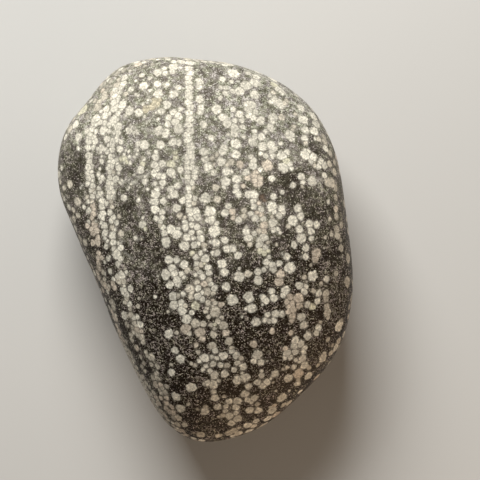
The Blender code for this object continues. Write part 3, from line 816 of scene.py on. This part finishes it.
def haziness_and_sheen(look, here, patches):
    """How hazy wear and painted sheen make the glass, most at the far end, and the patches' own part of
    that.
    """
    apart = look.node("SeparateXYZ", {"Vector": here}).outputs
    drift = look.plus(look.noise(here, 0.3, 3.0), -0.5)
    slanted = look.plus(apart["Y"], look.times(look.calc("ABSOLUTE", apart["X"]), -HAZE_AND_SHEEN_SLANT))
    local = 0.0
    for middle, radius, strength in patches:
        away = look.vector("DISTANCE", here, middle)
        local = look.plus(local, look.ramp(away, 0.0, radius, strength, 0.0))
    haze_and_sheen = look.ramp(look.plus(slanted, look.times(drift, HAZE_AND_SHEEN_DRIFT_MM), local), *HAZE_AND_SHEEN_MM)
    return look.times(haze_and_sheen, look.ramp(apart["Z"], 3.0, 12.0, 0.35, 1.0)), local


def ragged(look, here):
    """The place, swung to and fro, which gives the spots ragged edges."""
    place = here
    for per_mm, reach in RAGGEDNESS:
        swing = look.vector("SUBTRACT", look.noise(here, per_mm, 1.0, "Color"), (0.5, 0.5, 0.5))
        place = look.vector("ADD", place, look.scaled(swing, reach))
    return place


def spot_cover(look, here, haze_and_sheen, beyond, margin):
    """How far spots cover the glass, with a thin dark line where two meet."""
    inside = look.ramp(beyond, look.ramp(haze_and_sheen, 0.0, 0.4, 0.115, 0.175), -0.11)
    seam = look.ramp(margin, 0.0, 0.12, 0.5, 1.0)
    wear_left = look.ramp(haze_and_sheen, 0.4, 1.0, 0.6, 0.5)
    worn = look.ramp(look.noise(here, 5.0, 3.0), 0.25, 0.5, wear_left, 1.0)
    # Where spots stand close together, the narrow gaps between them are cloudy
    gap = look.ramp(look.plus(beyond, margin), 0.34, 0.06)
    cloud = look.ramp(look.noise(here, 3.4, 3.0), 0.36, 0.62, 0.14, 0.36)
    return look.most(look.times(inside, seam, worn), look.times(gap, cloud))


def spot_tone(look, here, haze_and_sheen, beyond):
    """How bright a spot is: mottled, and a large one duller in its middle and, as painted shade, at its
    edge.
    """
    mottle = look.noise(here, 4.2, 4.0, curl=0.5)
    # Painted shade at a spot's edge, as though the spot were domed
    painted_edge_shade = look.ramp(haze_and_sheen, 0.1, 0.5, 0.8, 0.93)
    # Patches of painted highlight on the spots, brightest where the glass is least hazy
    painted_highlight_peak = look.ramp(haze_and_sheen, 0.0, 0.4, 1.3, 1.1)
    return look.times(
        look.ramp(mottle, 0.35, 0.64, 0.67, 1.17),
        look.ramp(beyond, -0.5, -0.22, 0.88, 1.0),
        look.ramp(beyond, -0.16, 0.02, 1.0, painted_edge_shade),
        look.ramp(look.noise(here, 1.9, 2.0), 0.46, 0.66, 0.94, painted_highlight_peak),
        # Painted light: lighter towards the far end, where the window lamp shines, and a little darker
        # again at the very end
        look.ramp(haze_and_sheen, 0.0, 0.5, 0.92, 1.17),
        look.ramp(haze_and_sheen, 0.6, 1.0, 1.0, 0.88),
    )


def bruising(look, here, haze_and_sheen, local, grain, patch):
    """A salt of tiny bruises, with dust, flecks that are partly painted glints, smears and short
    scratches.
    """
    level = look.plus(grain, look.times(patch, 0.45), look.times(haze_and_sheen, 0.11), look.times(local, 0.012))
    salt = look.ramp(level, 0.83, 0.95)
    dust = look.times(
        look.ramp(look.noise(here, 2.7, 3.0, curl=0.9), 0.38, 0.66),
        look.ramp(haze_and_sheen, 0.0, 1.0, 0.005, 0.25),
        look.ramp(look.noise(here, 1.6, 2.0), 0.36, 0.62, 0.4, 1.5),
    )
    # Tiny flecks: partly bruises, partly painted glints
    flecks_and_glints = look.ramp(look.noise(here, 5.6, 0.0), 0.67, 0.74)
    smear = look.times(
        look.ramp(look.noise(here, 2.3, 2.0, curl=1.3), 0.57, 0.67, 0.0, 0.5),
        look.ramp(grain, 0.4, 0.6, 0.2, 1.0),
        look.ramp(haze_and_sheen, 0.0, 0.6, 0.25, 1.0),
    )
    strokes = look.times(
        look.most(fine_strokes(look, here, 1.3, 0.045), fine_strokes(look, here, 2.4, 0.07)),
        look.ramp(patch, 0.4, 0.62, 0.1, 0.9),
    )
    return look.most(salt, dust, flecks_and_glints, smear, strokes)


def snowflake_obsidian(haze_and_sheen_patches):
    look = Look("snowflake obsidian")
    here = look.place_mm()
    haze_and_sheen, local = haziness_and_sheen(look, here, haze_and_sheen_patches)
    lobes = look.ramp(look.noise(here, 2.4, 1.0), 0.3, 0.7, 0.9, 1.18)
    beyond, margin, spot_colour = nearest_of(look, ragged(look, here), lobes)
    spot = spot_cover(look, here, haze_and_sheen, beyond, margin)
    spot_colour = look.scaled(spot_colour, spot_tone(look, here, haze_and_sheen, beyond))

    # Dark glass, which is hazy, partly as painted sheen, and bruised where no spot is near
    grain = look.noise(here, 3.4, 3.0, curl=1.6)
    patch = look.noise(here, 0.8, 3.0, curl=1.2)
    away = look.ramp(beyond, 0.05, 0.18, look.ramp(haze_and_sheen, 0.1, 0.9, 0.15, 0.55), 1.0)
    haze_and_sheen_veil = look.times(haze_and_sheen, look.ramp(patch, 0.34, 0.66, 0.5, 1.45), away)
    glass = look.mix(haze_and_sheen_veil, GLASS_DARK, GLASS_HAZE_AND_SHEEN)
    bruised = look.times(bruising(look, here, haze_and_sheen, local, grain, patch), away)
    glass = look.mix(bruised, glass, look.mix(haze_and_sheen, *BRUISES))
    tint = look.ramp(look.noise(here, 1.3, 3.0), 0.4, 0.6)
    glass = look.vector("MULTIPLY", glass, look.mix(tint, OLIVE_TINT, VIOLET_TINT, "VECTOR"))

    bump = look.node("Bump", {
        "Height": look.plus(grain, look.times(bruised, 0.6)),
        "Strength": 1.0,
        "Distance": BUMP_MM * MM,
    })
    inputs = {
        "Base Color": look.mix(spot, glass, spot_colour),
        "Roughness": look.plus(0.3, look.times(grain, 0.3)),
        "Normal": bump.outputs["Normal"],
        **SHEEN,
    }
    for name, value in inputs.items():
        look.put(look.shader.inputs[name], value)
    return look.material


def dress_stone():
    piece = even_stone(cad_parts["stone"])
    seen = SeenFromAbove(piece)
    wear(piece, seen)
    points = points_of(piece.data)
    spots = Spots()
    draw = random.Random(SPOT_SEED)
    place_seen(spots, seen, draw)
    for row in ROWS.values():
        line = np.array([seen.at(px, py)[0] for px, py in row["line"]])
        place_row(spots, points, line, row, draw)
    scatter(spots, points, draw)
    write_nearest(piece.data, spots)
    patches = [
        (seen.at(px, py)[0], radius_px * MM_PER_PX, shift) for px, py, radius_px, shift in HAZE_AND_SHEEN_PATCHES
    ]
    piece.data.materials.append(snowflake_obsidian(patches))
    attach(piece, "root")
    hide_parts("stone")


def area_light(name, at, aim, size, watts, colour):
    data = bpy.data.lights.new(name, "AREA")
    data.shape = "RECTANGLE"
    data.size, data.size_y = size[0] * MM, size[1] * MM
    data.energy = watts
    data.color = colour
    light = bpy.data.objects.new(name, data)
    light.location = Vector(at) * MM
    light.rotation_euler = (Vector(at) - Vector(aim)).to_track_quat("Z", "Y").to_euler()
    light.visible_camera = False
    bpy.context.scene.collection.objects.link(light)


def paper_floor():
    mesh = bpy.data.meshes.new("floor")
    shape = bmesh.new()
    bmesh.ops.create_grid(shape, x_segments=1, y_segments=1, size=FLOOR_HALF_M)
    shape.to_mesh(mesh)
    shape.free()
    floor = to_mesh_object("floor", mesh)
    paper = Look("pale paper")
    here = paper.place_mm()
    shade = 1.0
    for middle, near, far, left in PAPER_SHADES:
        away = paper.vector("DISTANCE", here, middle)
        shade = paper.times(shade, paper.ramp(away, near, far, left))
    paper.put(paper.shader.inputs["Base Color"], paper.scaled(PAPER, shade))
    paper.put(paper.shader.inputs["Roughness"], 0.9)
    mesh.materials.append(paper.material)


def studio():
    paper_floor()
    scene = bpy.context.scene
    scene.view_settings.view_transform = "Standard"
    world = bpy.data.worlds.new("warm grey")
    world.use_nodes = True
    for name, value in WORLD.items():
        world.node_tree.nodes["Background"].inputs[name].default_value = value
    scene.world = world
    for name, lamp in LAMPS.items():
        area_light(name, *lamp)

    camera_data = bpy.data.cameras.new("camera")
    camera_data.sensor_width = SENSOR_MM
    camera_data.lens = SENSOR_MM * CAMERA_HEIGHT_MM / IMAGE_MM
    camera_data.clip_start = 0.01
    camera = bpy.data.objects.new("camera", camera_data)
    camera.location = Vector((*VIEW_CENTRE_MM, WAIST_MM + CAMERA_HEIGHT_MM)) * MM
    scene.collection.objects.link(camera)
    scene.camera = camera


dress_stone()
studio()
